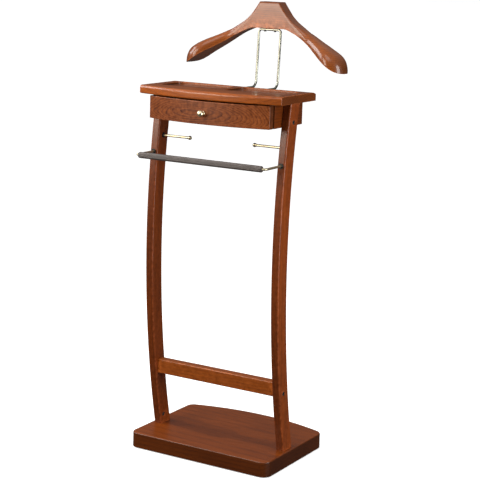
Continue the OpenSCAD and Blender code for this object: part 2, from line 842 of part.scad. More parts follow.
module hanger() {
    steps = 24;
    n = steps + 1;
    out = half_stations() * hanger_half_w / 225;
    m = len(out);
    xs = [for (i = [m - 1 : -1 : 0]) -out[i], for (x = out) x];
    rings = [for (x = xs) hanger_ring(x, steps)];
    last = len(rings) - 1;
    faces = concat(
        [[for (i = [0 : steps]) i]],
        [for (k = [0 : last - 1], i = [0 : steps])
            let (j = (i + 1) % n)
            [k * n + i, (k + 1) * n + i, (k + 1) * n + j, k * n + j]],
        [[for (i = [steps : -1 : 0]) last * n + i]]
    );
    color(light_wood) difference() {
        polyhedron(points = [for (r = rings) each r], faces = faces, convexity = 8);
        for (x = [-1, 1] * screw_gap / 2)
            translate([x, wire_top_y(), 0]) cylinder(h = wire_top_z + 24, d = 3.4 + 2 * fit);
    }
}

base_board();
base_glides();
left_post();
right_post();
lower_rail();
tray_top();
case_left_side();
case_right_side();
case_back();
left_runner();
right_runner();
runner_screws();
drawer_stop();
stop_screw();
trouser_bar();
bar_grip();
bar_ferrules();
left_peg();
right_peg();
peg_balls();
peg_ferrules();
hanger_wire();
wire_screws();
hanger();
hanger_screws();
base_bolts();
base_washers();
base_barrel_nuts();
base_dowels();
rail_bolts();
rail_barrel_nuts();
rail_dowels();
case_bolts();
case_inserts();
case_dowels();
case_back_dowels();
tray_dowels();
drawer_front();
drawer_left_side();
drawer_right_side();
drawer_back();
drawer_bottom();
drawer_knob();
knob_screw();
drawer_dowels();
drawer_brads();
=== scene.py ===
"""Looks of the valet stand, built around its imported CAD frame. Metres; -Y is the front, Z is up."""

import json
import math

import bmesh
import bpy
from mathutils import Matrix, Vector


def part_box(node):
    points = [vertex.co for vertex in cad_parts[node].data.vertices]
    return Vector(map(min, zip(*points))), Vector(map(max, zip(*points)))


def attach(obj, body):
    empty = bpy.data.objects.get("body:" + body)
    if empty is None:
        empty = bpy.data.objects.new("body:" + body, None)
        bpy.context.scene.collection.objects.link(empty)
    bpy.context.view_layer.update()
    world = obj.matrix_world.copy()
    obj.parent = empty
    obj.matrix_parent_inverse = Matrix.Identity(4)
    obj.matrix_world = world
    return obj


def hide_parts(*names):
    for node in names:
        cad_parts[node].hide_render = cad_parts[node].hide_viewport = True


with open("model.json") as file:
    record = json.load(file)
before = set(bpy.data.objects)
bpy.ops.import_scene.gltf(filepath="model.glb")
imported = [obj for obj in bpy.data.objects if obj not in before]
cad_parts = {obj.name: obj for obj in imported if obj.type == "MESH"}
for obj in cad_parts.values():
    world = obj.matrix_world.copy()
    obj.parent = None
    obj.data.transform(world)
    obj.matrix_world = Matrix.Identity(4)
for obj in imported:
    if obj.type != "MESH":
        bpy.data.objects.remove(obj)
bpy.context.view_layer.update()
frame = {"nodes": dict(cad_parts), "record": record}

MM = 0.001
QUARTER = math.pi / 2

# Sizes that the frame's boxes don't give, as in the CAD source.
BASE_CORNER_R = 22 * MM
BASE_BOW = 35 * MM               # how far the base's back edge bows out
POST_BOW = 42 * MM               # how far a post's middle stands forward of its ends
POST_FOOT_Y = -30 * MM
POST_HEAD_Y = -50 * MM
POST_DEPTH = 41.5 * MM
FRONT_BOW = 25 * MM              # bow of the tray's edge and of the drawer front
POCKET_X = (10 * MM, 168 * MM)   # a tray pocket's inner and outer end
POCKET_Y = (-85 * MM, 6 * MM)    # a tray pocket's front and back
POCKET_DEPTH = 5 * MM
ROD_R = 3 * MM
BOLT_BORE_R = 5.3 * MM           # recess of a bolt's head
NUT_R = 5 * MM                   # a barrel nut
NUT_BORE_R = 5.1 * MM            # its bore
FERRULE_R = 6.5 * MM
FERRULE_T = 2 * MM
HANGER_Y = 153 * MM              # middle of the hanger
PAST = 5 * MM                    # how far a cutter reaches past the surface


# ---------------------------------------------------------------- camera, lights, floor

def make_camera():
    """Camera at the photograph's angle: turned to the right, a little above, with a slight roll."""
    azimuth, elevation, roll = math.radians(30.74), math.radians(10.70), math.radians(1.69)
    target = Vector((0.0202, 0.0031, 0.5777))
    distance = 3.5064
    back = Vector((
        math.sin(azimuth) * math.cos(elevation),
        -math.cos(azimuth) * math.cos(elevation),
        math.sin(elevation),
    ))
    right = Vector((math.cos(azimuth), math.sin(azimuth), 0.0))
    up = back.cross(right)
    cam_x = right * math.cos(roll) + up * math.sin(roll)
    cam_y = up * math.cos(roll) - right * math.sin(roll)
    data = bpy.data.cameras.new("camera")
    data.sensor_width = 36.0
    data.lens = 108.9
    data.shift_x = -0.0040
    data.shift_y = -0.0425
    camera = bpy.data.objects.new("camera", data)
    turn = Matrix((cam_x, cam_y, back)).transposed().to_4x4()
    camera.matrix_world = Matrix.Translation(target + back * distance) @ turn
    bpy.context.scene.collection.objects.link(camera)
    bpy.context.scene.camera = camera


def area_light(name, place, aim, size, watts, colour=(1.0, 1.0, 1.0)):
    """Softbox of size (width, height) at place, turned towards aim."""
    data = bpy.data.lights.new(name, "AREA")
    data.shape = "RECTANGLE"
    data.size, data.size_y = size
    data.energy = watts
    data.color = colour
    lamp = bpy.data.objects.new(name, data)
    lamp.location = place
    lamp.rotation_euler = (Vector(aim) - Vector(place)).to_track_quat("-Z", "Y").to_euler()
    bpy.context.scene.collection.objects.link(lamp)


def sun(name, azimuth, elevation, spread, strength):
    """Distant soft light. Azimuth 0 stands in front of the object and 90 on its right."""
    data = bpy.data.lights.new(name, "SUN")
    data.angle = math.radians(spread)
    data.energy = strength
    lamp = bpy.data.objects.new(name, data)
    az, el = math.radians(azimuth), math.radians(elevation)
    towards = Vector((math.sin(az) * math.cos(el), -math.cos(az) * math.cos(el), math.sin(el)))
    lamp.rotation_euler = towards.to_track_quat("Z", "Y").to_euler()
    bpy.context.scene.collection.objects.link(lamp)


def make_world():
    """White behind the object; for everything else a dim room, lighter overhead than below."""
    world = bpy.data.worlds.new("studio")
    world.use_nodes = True
    tree = world.node_tree
    tree.nodes.clear()
    place = tree.nodes.new("ShaderNodeTexCoord")
    axis = tree.nodes.new("ShaderNodeSeparateXYZ")
    tree.links.new(place.outputs["Generated"], axis.inputs[0])
    # the room's strength by height: dim up to a little above eye level, brightest well overhead
    ramp = tree.nodes.new("ShaderNodeMapRange")
    tree.links.new(axis.outputs[2], ramp.inputs["Value"])
    for key, value in (("From Min", 0.22), ("From Max", 0.7), ("To Min", 0.06), ("To Max", 0.4)):
        ramp.inputs[key].default_value = value
    room = tree.nodes.new("ShaderNodeBackground")
    tree.links.new(ramp.outputs[0], room.inputs["Strength"])
    white = tree.nodes.new("ShaderNodeBackground")
    white.inputs["Strength"].default_value = 1.0
    for node in (room, white):
        node.inputs["Color"].default_value = (1.0, 1.0, 1.0, 1.0)
    seen = tree.nodes.new("ShaderNodeLightPath")
    blend = tree.nodes.new("ShaderNodeMixShader")
    tree.links.new(seen.outputs["Is Camera Ray"], blend.inputs[0])
    tree.links.new(room.outputs[0], blend.inputs[1])
    tree.links.new(white.outputs[0], blend.inputs[2])
    out = tree.nodes.new("ShaderNodeOutputWorld")
    tree.links.new(blend.outputs[0], out.inputs[0])
    bpy.context.scene.world = world


def make_floor():
    """Plain pale floor. Only the camera and shadows meet it, so the lacquer doesn't mirror it."""
    size = 30.0
    corners = [(-size, -size, 0), (size, -size, 0), (size, size, 0), (-size, size, 0)]
    mesh = bpy.data.meshes.new("floor")
    mesh.from_pydata(corners, [], [(0, 1, 2, 3)])
    mesh.materials.append(floor_paint())
    floor = bpy.data.objects.new("floor", mesh)
    bpy.context.scene.collection.objects.link(floor)
    floor.visible_diffuse = False
    floor.visible_glossy = False


def make_studio():
    bpy.context.scene.view_settings.view_transform = "Standard"
    make_world()
    sun("key", azimuth=8, elevation=56, spread=40, strength=0.9)
    area_light("front_softbox", (-0.95, -1.65, 1.35), (0, 0, 1.0), (1.0, 0.9), 26, (1.0, 0.90, 0.78))
    area_light("left_softbox", (-2.3, -0.7, 2.0), (0, 0, 0.9), (1.4, 1.4), 45)
    area_light("side_softbox", (2.6, -0.4, 0.9), (0, 0, 0.55), (1.0, 2.0), 62)
    make_floor()


# ---------------------------------------------------------------- materials

class Paint:
    """A material under construction: adds nodes and links in one call each."""

    def __init__(self, name):
        self.material = bpy.data.materials.new(name)
        self.material.use_nodes = True
        self.tree = self.material.node_tree
        self.tree.nodes.clear()
        self.shader = self.tree.nodes.new("ShaderNodeBsdfPrincipled")
        out = self.tree.nodes.new("ShaderNodeOutputMaterial")
        self.tree.links.new(self.shader.outputs[0], out.inputs[0])
        self.place = self.add("TexCoord").outputs["Object"]

    def plug(self, node, key, value):
        """Links a socket to a node's input, or sets the input's own value."""
        socket = node.inputs[key]
        if isinstance(value, bpy.types.NodeSocket):
            self.tree.links.new(value, socket)
        else:
            socket.default_value = value

    def add(self, kind, inputs=(), **settings):
        node = self.tree.nodes.new("ShaderNode" + kind)
        for key, value in settings.items():
            setattr(node, key, value)
        for key, value in dict(inputs).items():
            self.plug(node, key, value)
        return node

    def math(self, operation, a, b=0.0):
        return self.add("Math", {0: a, 1: b}, operation=operation).outputs[0]

    def times(self, a, b):
        return self.math("MULTIPLY", a, b)

    def stretch(self, vector, factors):
        node = self.add("VectorMath", {0: vector, 1: factors}, operation="MULTIPLY")
        return node.outputs[0]

    def xyz(self, vector):
        return self.add("SeparateXYZ", {0: vector}).outputs

    def mix(self, factor, a, b, blend="MIX"):
        node = self.add("Mix", {0: factor, 6: a, 7: b}, data_type="RGBA", blend_type=blend)
        return node.outputs[2]

    def darken(self, colour, level):
        """The colour multiplied by a grey level."""
        grey = self.add("CombineColor", {0: level, 1: level, 2: level}).outputs[0]
        return self.mix(1.0, colour, grey, "MULTIPLY")

    def ramp(self, value, *stops):
        """Grey ramp through (position, brightness) stops."""
        node = self.add("ValToRGB", {0: value})
        elements = node.color_ramp.elements
        while len(elements) < len(stops):
            elements.new(0.5)
        for element, (position, level) in zip(elements, stops):
            element.position = position
            element.color = (level, level, level, 1.0)
        return node.outputs[0]

    def noise(self, vector, scale=1.0, detail=2.0, roughness=0.5):
        inputs = {"Vector": vector, "Scale": scale, "Detail": detail, "Roughness": roughness}
        return self.add("TexNoise", inputs).outputs[0]

    def bump(self, height, strength, distance):
        inputs = {"Strength": strength, "Distance": distance, "Height": height}
        return self.add("Bump", inputs).outputs[0]

    def finish(self, **inputs):
        """Sets the shader's inputs, with _ for a space in their names, and gives the material."""
        for key, value in inputs.items():
            self.plug(self.shader, key.replace("_", " "), value)
        return self.material


def floor_paint():
    paint = Paint("floor_paint")
    grain = paint.ramp(paint.noise(paint.place, 3.0), (0.3, 0.86), (0.7, 0.90))
    return paint.finish(Base_Color=grain, Roughness=0.7, Emission_Color=(1.0, 1.0, 1.0, 1.0),
                        Emission_Strength=0.6)


def growth_rings(paint, along, lying, ring_mm, tilt, pith, wobble):
    """Rings, dark in their late wood, as cylinders about a pith line at the offset pith beside the
    grain axis. tilt leans the pith line, and wobble in metres bends the rings with a slow noise."""
    slow = paint.stretch(along, (3.0, 16.0, 16.0))
    bend = paint.add("TexNoise", {"Vector": slow, "Scale": 1.0, "Detail": 2.0}).outputs[1]
    bend = paint.add("VectorMath", {0: bend, 1: (0.5, 0.5, 0.5)}, operation="SUBTRACT").outputs[0]
    bend = paint.add("VectorMath", {0: bend, "Scale": wobble}, operation="SCALE").outputs[0]
    bent = paint.add("VectorMath", {0: lying, 1: bend}, operation="ADD").outputs[0]
    x, y, z = paint.xyz(bent)
    across = paint.math("ADD", y, paint.math("ADD", paint.times(x, tilt), pith[0]))
    depth = paint.math("ADD", z, pith[1])
    squares = [paint.math("POWER", distance, 2.0) for distance in (across, depth)]
    radius = paint.math("SQRT", paint.math("ADD", *squares))
    ring = paint.math("FRACT", paint.times(radius, 1.0 / (ring_mm * MM)))
    return paint.ramp(ring, (0.0, 0.15), (0.55, 0.25), (0.82, 0.85), (0.93, 1.0), (1.0, 0.15))


def painted_hollow_shade(paint, half_x, low_y, high_y, top_z):
    """Painted shade: how much darker the wood is painted down in the hollows of a board, where shade
    falls.
    """
    x, y, z = paint.xyz(paint.place)
    middle, reach = (low_y + high_y) / 2, (high_y - low_y) / 2
    wide = paint.math("LESS_THAN", paint.math("ABSOLUTE", x), half_x)
    off_middle = paint.math("ABSOLUTE", paint.math("SUBTRACT", y, middle))
    within = paint.times(wide, paint.math("LESS_THAN", off_middle, reach))
    above_underside = paint.math("GREATER_THAN", z, top_z - 8 * MM)
    deep = paint.add("MapRange", {"Value": z, "From Min": top_z - 0.9 * MM,
                                  "From Max": top_z - 3.5 * MM, "To Min": 0.0, "To Max": 0.40})
    return paint.times(deep.outputs[0], paint.times(within, above_underside))


def wood(name, light, dark, grain="X", seed=0.0, ring_mm=7.0, ring_depth=0.6, tilt=0.03,
         pith=(0.0, -0.10), wobble=0.012, gloss=0.22, pores=0.35, coat=0.7, end_dark=0.45,
         face_painted_shade=0.0, rubbed_and_sheen=0.75, shade_hollow=None):
    """Stained and lacquered wood with its grain along one axis.

    Flat faces show arches and edge faces show straight lines. ring_depth is the contrast of the
    rings, gloss the roughness of the lacquer and coat its weight, pores how dark the pores are,
    end_dark how much darker the end grain is, face_painted_shade how much painted shade darkens the
    faces turned to Y, and rubbed_and_sheen how much paler the edges are painted, for worn edges and
    for painted highlights. shade_hollow is the box in which painted_hollow_shade paints shade."""
    paint = Paint(name)
    turn = {"X": (0, 0, 0), "Y": (0, 0, -QUARTER), "Z": (0, QUARTER, 0)}[grain]
    lying = paint.add("Mapping", {"Vector": paint.place, "Rotation": turn}).outputs[0]
    shift = (seed * 1.7, seed * 0.9, seed * 1.3)
    along = paint.add("Mapping", {"Vector": paint.place, "Location": shift,
                                  "Rotation": turn}).outputs[0]

    ring = growth_rings(paint, along, lying, ring_mm, tilt, pith, wobble)
    fibre = paint.noise(paint.stretch(along, (14.0, 420.0, 420.0)), 1.0, 4.0, 0.6)
    streak = paint.ramp(fibre, (0.3, 0.0), (0.7, 1.0))
    pore = paint.noise(paint.stretch(along, (45.0, 1500.0, 1500.0)), 1.0, 1.0)
    pore = paint.ramp(pore, (0.56, 0.0), (0.66, 1.0))
    cloud = paint.noise(paint.stretch(along, (2.5, 9.0, 9.0)), 1.0, 3.0)
    cloud = paint.ramp(cloud, (0.36, 0.0), (0.64, 1.0))

    tone = paint.times(ring, ring_depth)
    for pattern, share in ((streak, 0.28), (cloud, 0.34)):
        tone = paint.math("ADD", tone, paint.times(pattern, share))
    colour = paint.mix(tone, (*light, 1.0), (*dark, 1.0))
    colour = paint.darken(colour, paint.math("SUBTRACT", 1.0, paint.times(pore, pores)))

    # edges painted paler: worn edges, and painted highlights along them
    wear_and_sheen = paint.add("Attribute", attribute_name="wear_and_sheen").outputs["Fac"]
    patchy = paint.ramp(paint.noise(paint.place, 120.0, 3.0), (0.35, 0.0), (0.7, 1.0))
    pale = tuple(min(1.0, 1.7 * c + 0.03) for c in light)
    colour = paint.mix(paint.times(paint.times(wear_and_sheen, patchy), rubbed_and_sheen), colour, (*pale, 1.0))

    facing = paint.xyz(paint.add("TexCoord").outputs["Normal"])
    shade = 1.0
    # end grain is darker in its own tone; faces turned to Y are darkened by painted shade
    for axis, amount in (("XYZ".index(grain), end_dark), (1, face_painted_shade)):
        turned = paint.math("POWER", facing[axis], 2.0)
        shade = paint.math("SUBTRACT", shade, paint.times(turned, amount))
    # painted shade down in the hollows, darker with depth below the top
    if shade_hollow:
        shade = paint.math("SUBTRACT", shade, painted_hollow_shade(paint, *shade_hollow))
    colour = paint.darken(colour, shade)

    rough = paint.math("ADD", paint.times(streak, 0.12), 0.34)
    relief = paint.math("ADD", paint.times(ring, 0.3), pore)
    film = paint.noise(paint.place, 90.0, 2.0)
    return paint.finish(Base_Color=colour, Roughness=rough, Specular_IOR_Level=0.2,
                        Normal=paint.bump(relief, 0.25, 0.2 * MM),
                        Coat_Weight=coat, Coat_Roughness=gloss,
                        Coat_Normal=paint.bump(film, 0.06, 0.4 * MM))


def metal(name, colour, roughness, brushed=0.0, tarnish=0.2):
    """Plated or polished metal with faint streaks, smudges and a duller tone in patches."""
    paint = Paint(name)
    smudge = paint.ramp(paint.noise(paint.place, 25.0, 3.0), (0.35, 0.0), (0.75, 1.0))
    duller = tuple(c * 0.6 for c in colour)
    tint = paint.mix(paint.times(smudge, tarnish), (*colour, 1.0), (*duller, 1.0))
    rough = paint.math("ADD", roughness, paint.times(smudge, 0.10))
    line = paint.noise(paint.stretch(paint.place, (40.0, 900.0, 900.0)))
    return paint.finish(Base_Color=tint, Metallic=1.0, Roughness=rough,
                        Normal=paint.bump(line, 0.02 + brushed, 0.1 * MM))


def matt(name, colour, roughness, grain_scale=900.0, bump_mm=0.1, coat=0.0):
    """Rubber, foam or plastic with a fine pebbled skin and uneven tone."""
    paint = Paint(name)
    pebble = paint.noise(paint.place, grain_scale, 3.0, 0.6)
    patch = paint.ramp(paint.noise(paint.place, 45.0, 3.0), (0.3, 0.0), (0.7, 1.0))
    lighter = tuple(min(1.0, c * 1.8 + 0.01) for c in colour)
    tint = paint.mix(paint.times(patch, 0.4), (*colour, 1.0), (*lighter, 1.0))
    rough = paint.math("ADD", roughness - 0.08, paint.times(pebble, 0.16))
    return paint.finish(Base_Color=tint, Roughness=rough, Coat_Weight=coat,
                        Normal=paint.bump(pebble, 0.4, bump_mm * MM))


def make_paints():
    """Every material by its short name."""
    cherry = dict(light=(0.280, 0.054, 0.004), dark=(0.055, 0.009, 0.001), coat=0.35)
    orange = dict(light=(0.430, 0.100, 0.008), dark=(0.090, 0.016, 0.0015))
    brown = dict(light=(0.270, 0.058, 0.005), dark=(0.065, 0.011, 0.001), coat=0.35)
    deep = dict(light=(0.210, 0.044, 0.004), dark=(0.050, 0.009, 0.001), coat=0.3)
    figured = dict(light=(0.340, 0.088, 0.015), dark=(0.065, 0.011, 0.002), coat=0.4)
    glossy = dict(light=(0.380, 0.096, 0.012), dark=(0.110, 0.021, 0.002), coat=0.7, gloss=0.16)
    raw = dict(light=(0.62, 0.43, 0.24), dark=(0.42, 0.25, 0.12), coat=0.0, pores=0.2)
    beech = dict(light=(0.72, 0.55, 0.35), dark=(0.52, 0.35, 0.19), coat=0.0, pores=0.2)
    # painted shade darkens the posts' faces turned to Y
    post = dict(cherry, grain="Z", ring_depth=0.25, face_painted_shade=0.3)
    # the box of the tray's pockets, inside which the wood gets painted shade
    margin = 1 * MM
    pockets = (POCKET_X[1] + margin, POCKET_Y[0] - margin, POCKET_Y[1] + margin,
               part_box("tray_top")[1].z)
    return {
        # painted shade darkens the base's faces turned to Y
        "base": wood("base_wood", **brown, seed=1.0, ring_mm=9, ring_depth=0.25, pith=(0.02, 0.20),
                     end_dark=0.72, face_painted_shade=0.5, rubbed_and_sheen=0.0),
        "left_post": wood("left_post_wood", **post, seed=2.0, pith=(0.05, 0.12)),
        "right_post": wood("right_post_wood", **post, seed=3.0, pith=(0.04, 0.14)),
        # the rail's lighter, more orange tone is painted light: its front catches more light than the
        # posts' lower fronts
        "rail": wood("rail_wood", **orange, coat=0.40, seed=4.0, ring_depth=0.2),
        "tray": wood("tray_wood", **orange, coat=0.6, seed=5.0, ring_depth=0.3, pith=(0.0, -0.80),
                     gloss=0.20, shade_hollow=pockets),
        "case": wood("case_wood", **deep, grain="Y", seed=6.0, ring_depth=0.3),
        "drawer_front": wood("drawer_front_wood", **figured, seed=7.0, ring_mm=2.8, tilt=0.05,
                             pith=(0.18, -0.845), wobble=0.03, end_dark=0.5),
        "hanger": wood("hanger_wood", **glossy, seed=8.0, ring_mm=5, ring_depth=0.35, end_dark=0.6),
        "inside": wood("inside_wood", **raw, grain="Y", seed=9.0, ring_depth=0.5),
        "inside_x": wood("inside_wood_x", **raw, seed=10.0, ring_depth=0.5),
        "dowel": wood("dowel_wood", **beech, grain="Z", seed=11.0, ring_mm=2.0),
        "brass": metal("polished_brass", (0.86, 0.77, 0.52), 0.30, tarnish=0.1),
        "chrome": metal("chrome_plate", (0.42, 0.43, 0.36), 0.15, tarnish=0.3),
        # zinc painted much darker than plate, as painted shade: the bolts deep in their bores look dark
        "zinc": metal("zinc_plate", (0.17, 0.17, 0.165), 0.42, brushed=0.1, tarnish=0.5),
        "foam": matt("grip_foam", (0.062, 0.050, 0.048), 0.42, 700.0, 0.12, coat=0.3),
        "black": matt("black_trim", (0.012, 0.011, 0.011), 0.45, 500.0, 0.05),
        "glide": matt("glide_plastic", (0.020, 0.020, 0.020), 0.6),
    }


# ---------------------------------------------------------------- mesh helpers

def quarter(steps):
    """Angles from 0 to 90 degrees."""
    return [QUARTER * i / steps for i in range(steps + 1)]


def middle(low, high):
    return (low + high) / 2


def arc_radius(chord, rise):
    return chord * chord / (8 * rise) + rise / 2


def arc_points(cx, cy, r, start, end, steps):
    """Points on an arc, angles in degrees."""
    angles = [math.radians(start + (end - start) * i / steps) for i in range(steps + 1)]
    return [(cx + r * math.cos(a), cy + r * math.sin(a)) for a in angles]


def rounded_rect(x0, y0, x1, y1, r, steps=6):
    """Counter-clockwise outline with round corners."""
    corners = ((x1 - r, y1 - r, 0), (x0 + r, y1 - r, 90), (x0 + r, y0 + r, 180), (x1 - r, y0 + r, 270))
    out = []
    for cx, cy, start in corners:
        out += arc_points(cx, cy, r, start, start + 90, steps)
    return out


def inset(outline, d):
    """The counter-clockwise outline moved inwards by d."""
    out = []
    n = len(outline)
    for i in range(n):
        a, b, c = (Vector(outline[j % n]) for j in (i - 1, i, i + 1))
        e1, e2 = (b - a).normalized(), (c - b).normalized()
        n1, n2 = Vector((-e1.y, e1.x)), Vector((-e2.y, e2.x))
        out.append(tuple(b + (n1 + n2) * (d / max(0.3, 1 + n1.dot(n2)))))
    return out


def loft(rings, looped=False):
    """Vertices and faces of a skin over closed rings with equal counts. The skin is capped at both
    ends, or, when looped, its last ring joins its first."""
    n = len(rings[0])
    verts = [tuple(p) for ring in rings for p in ring]
    faces = []
    spans = len(rings) if looped else len(rings) - 1
    for k in range(spans):
        a, b = k * n, (k + 1) % len(rings) * n
        faces += [(a + i, a + (i + 1) % n, b + (i + 1) % n, b + i) for i in range(n)]
    if not looped:
        faces.append(tuple(range(n - 1, -1, -1)))
        faces.append(tuple(range((len(rings) - 1) * n, len(rings) * n)))
    return verts, faces


def join(*parts):
    """Several (verts, faces) as one."""
    verts, faces = [], []
    for v, f in parts:
        base = len(verts)
        verts += v
        faces += [tuple(i + base for i in face) for face in f]
    return verts, faces


def mirrored(part):
    """The part on the other side of the plane X = 0."""
    verts, faces = part
    return [(-x, y, z) for x, y, z in verts], [tuple(reversed(f)) for f in faces]


def turning_frame(centre, axis):
    """Centre and unit axis as vectors, with two unit vectors across the axis."""
    axis = Vector(axis).normalized()
    side = axis.orthogonal().normalized()
    return Vector(centre), axis, side, axis.cross(side)


def lathe(profile, centre, axis, steps=48):
    """Turns (along, radius) points about an axis through centre. Its ends may touch the axis."""
    centre, axis, side, other = turning_frame(centre, axis)
    rings = []
    for along, radius in profile:
        radius = max(radius, 1e-5)
        ring = []
        for i in range(steps):
            a = 2 * math.pi * i / steps
            ring.append(centre + axis * along + (side * math.cos(a) + other * math.sin(a)) * radius)
        rings.append(ring)
    return loft(rings)


def lathe_closed(profile, centre, axis, steps=40):
    """As lathe, for a profile that is a closed loop away from the axis."""
    centre, axis, side, other = turning_frame(centre, axis)
    rings = []
    for i in range(steps):
        a = 2 * math.pi * i / steps
        out = side * math.cos(a) + other * math.sin(a)
        rings.append([centre + axis * along + out * radius for along, radius in profile])
    return loft(rings, looped=True)


def cylinder(centre, axis, radius, low, high, steps=32):
    return lathe([(low, radius), (high, radius)], centre, axis, steps)


def tube(path, radius, steps=24):
    """Round rod along a list of points."""
    path = [Vector(p) for p in path]
    last = len(path) - 1
    tangents = [(path[min(i + 1, last)] - path[max(i - 1, 0)]).normalized() for i in range(last + 1)]
    side = tangents[0].orthogonal().normalized()
    turns = [2 * math.pi * i / steps for i in range(steps)]
    rings = []
    for p, t in zip(path, tangents):
        side = (side - t * side.dot(t)).normalized()
        other = t.cross(side)
        rings.append([p + (side * math.cos(a) + other * math.sin(a)) * radius for a in turns])
    return loft(rings)


def filleted(corners, radii, steps=10):
    """A path through corners, the inner ones each rounded by their radius."""
    corners = [Vector(c) for c in corners]
    out = [corners[0]]
    for i in range(1, len(corners) - 1):
        p, r = corners[i], radii[i - 1]
        u, v = (corners[i - 1] - p).normalized(), (corners[i + 1] - p).normalized()
        half = math.acos(max(-1.0, min(1.0, u.dot(v)))) / 2
        reach = r / math.tan(half)
        centre = p + (u + v).normalized() * (r / math.sin(half))
        a, b = p + u * reach - centre, p + v * reach - centre
        total = a.angle(b)
        for k in range(steps + 1):
            t = k / steps
            swung = a * math.sin((1 - t) * total) + b * math.sin(t * total)
            out.append(centre + swung / math.sin(total))
    out.append(corners[-1])
    return out


def slab_rings(outline, z0, z1, r_low, r_high, steps=5):
    """Rings of a flat board with rounded lower and upper edges, ending in flat faces."""
    flat = 0.4 * MM
    rings = [[(x, y, z0) for x, y in inset(outline, r_low + flat)]]
    for a in quarter(steps):
        z = z0 + r_low * (1 - math.cos(a))
        rings.append([(x, y, z) for x, y in inset(outline, r_low * (1 - math.sin(a)))])
    for a in quarter(steps):
        z = z1 - r_high * (1 - math.sin(a))
        rings.append([(x, y, z) for x, y in inset(outline, r_high * (1 - math.cos(a)))])
    rings.append([(x, y, z1) for x, y in inset(outline, r_high + flat)])
    return rings


# ---------------------------------------------------------------- finishing a piece

def new_object(name, verts, faces, merge=0.0):
    """A linked mesh object with its normals outwards and, with merge, its doubles removed."""
    mesh = bpy.data.meshes.new(name)
    mesh.from_pydata(verts, [], faces)
    bm = bmesh.new()
    bm.from_mesh(mesh)
    if merge:
        bmesh.ops.remove_doubles(bm, verts=bm.verts, dist=merge)
    bmesh.ops.recalc_face_normals(bm, faces=bm.faces)
    bm.to_mesh(mesh)
    bm.free()
    ob = bpy.data.objects.new(name, mesh)
    bpy.context.scene.collection.objects.link(ob)
    return ob


def cut(ob, cutters):
    """Subtracts closed meshes, given as (verts, faces), and bakes the result."""
    tools = []
    for verts, faces in cutters:
        tool = new_object("cutter", verts, faces)
        tools.append(tool)
        mod = ob.modifiers.new("cut", "BOOLEAN")
        mod.operation, mod.object, mod.solver = "DIFFERENCE", tool, "EXACT"
    bpy.context.view_layer.update()
    graph = bpy.context.evaluated_depsgraph_get()
    baked = bpy.data.meshes.new_from_object(ob.evaluated_get(graph))
    ob.modifiers.clear()
    ob.data = baked
    for tool in tools:
        mesh = tool.data
        bpy.data.objects.remove(tool)
        bpy.data.meshes.remove(mesh)


def mark_sharp(mesh, angle):
    """Keeps shading sharp across edges that bend by more than the angle, in degrees."""
    bm = bmesh.new()
    bm.from_mesh(mesh)
    for edge in bm.edges:
        edge.smooth = len(edge.link_faces) != 2 or edge.calc_face_angle(0.0) < math.radians(angle)
    bm.to_mesh(mesh)
    bm.free()


def mark_wear_and_sheen(mesh, worn_from=0.08, full_at=0.35):
    """Writes how sharply the surface bends outwards at each vertex, in radians, as 0 to 1. The wood is
    painted paler there, for worn edges and for painted highlights along the edges."""
    bends = [0.0] * len(mesh.vertices)
    bm = bmesh.new()
    bm.from_mesh(mesh)
    for edge in bm.edges:
        if len(edge.link_faces) == 2:
            bend = edge.calc_face_angle_signed(0.0)
            for v in edge.verts:
                bends[v.index] = max(bends[v.index], bend)
    bm.free()
    layer = mesh.attributes.get("wear_and_sheen") or mesh.attributes.new("wear_and_sheen", "FLOAT", "POINT")
    layer.data.foreach_set("value", [min(1.0, max(0.0, b - worn_from) / full_at) for b in bends])


def soften(ob, bevel=0.0, angle=40.0):
    """Smooth shading with sharp edges kept, flat faces held flat, and an optional small bevel."""
    for face in ob.data.polygons:
        face.use_smooth = True
    if bevel:
        mod = ob.modifiers.new("bevel", "BEVEL")
        mod.width, mod.segments, mod.limit_method = bevel, 2, "ANGLE"
        mod.angle_limit = math.radians(angle)
    mod = ob.modifiers.new("normals", "WEIGHTED_NORMAL")
    mod.weight = 90
    mod.keep_sharp = True


def piece(name, part, paint, body, stands_for, sharp=50.0, cutters=()):
    """Makes a visible piece from (verts, faces). It rides on the body and stands for a CAD node."""
    ob = new_object(name, *part, merge=1e-6)
    if cutters:
        cut(ob, cutters)
    mark_sharp(ob.data, sharp)
    mark_wear_and_sheen(ob.data)
    soften(ob)
    ob.data.materials.clear()
    ob.data.materials.append(paint)
    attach(ob, body)
    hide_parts(stands_for)
    return ob


def node_middle(node):
    lo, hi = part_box(node)
    return Vector(((lo.x + hi.x) / 2, (lo.y + hi.y) / 2, (lo.z + hi.z) / 2))


# ---------------------------------------------------------------- pieces

def make_base(paints):
    lo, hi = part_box("base_board")
    half_w, corner = hi.x, BASE_CORNER_R
    big_r = arc_radius(2 * half_w, BASE_BOW)
    cy = hi.y - big_r
    corner_x = half_w - corner
    corner_y = cy + math.sqrt((big_r - corner) ** 2 - corner_x ** 2)
    touch = math.degrees(math.atan2(corner_y - cy, corner_x))
    outline = arc_points(-corner_x, lo.y + corner, corner, 180, 270, 12)
    outline += arc_points(corner_x, lo.y + corner, corner, 270, 360, 12)
    outline += arc_points(corner_x, corner_y, corner, 0, touch, 10)
    outline += arc_points(0, cy, big_r, touch, 180 - touch, 60)[1:-1]
    outline += arc_points(-corner_x, corner_y, corner, 180 - touch, 180, 10)
    board = loft(slab_rings(outline, lo.z, hi.z, 1.0 * MM, 3.5 * MM))
    piece("base", board, paints["base"], "stand", "base_board")


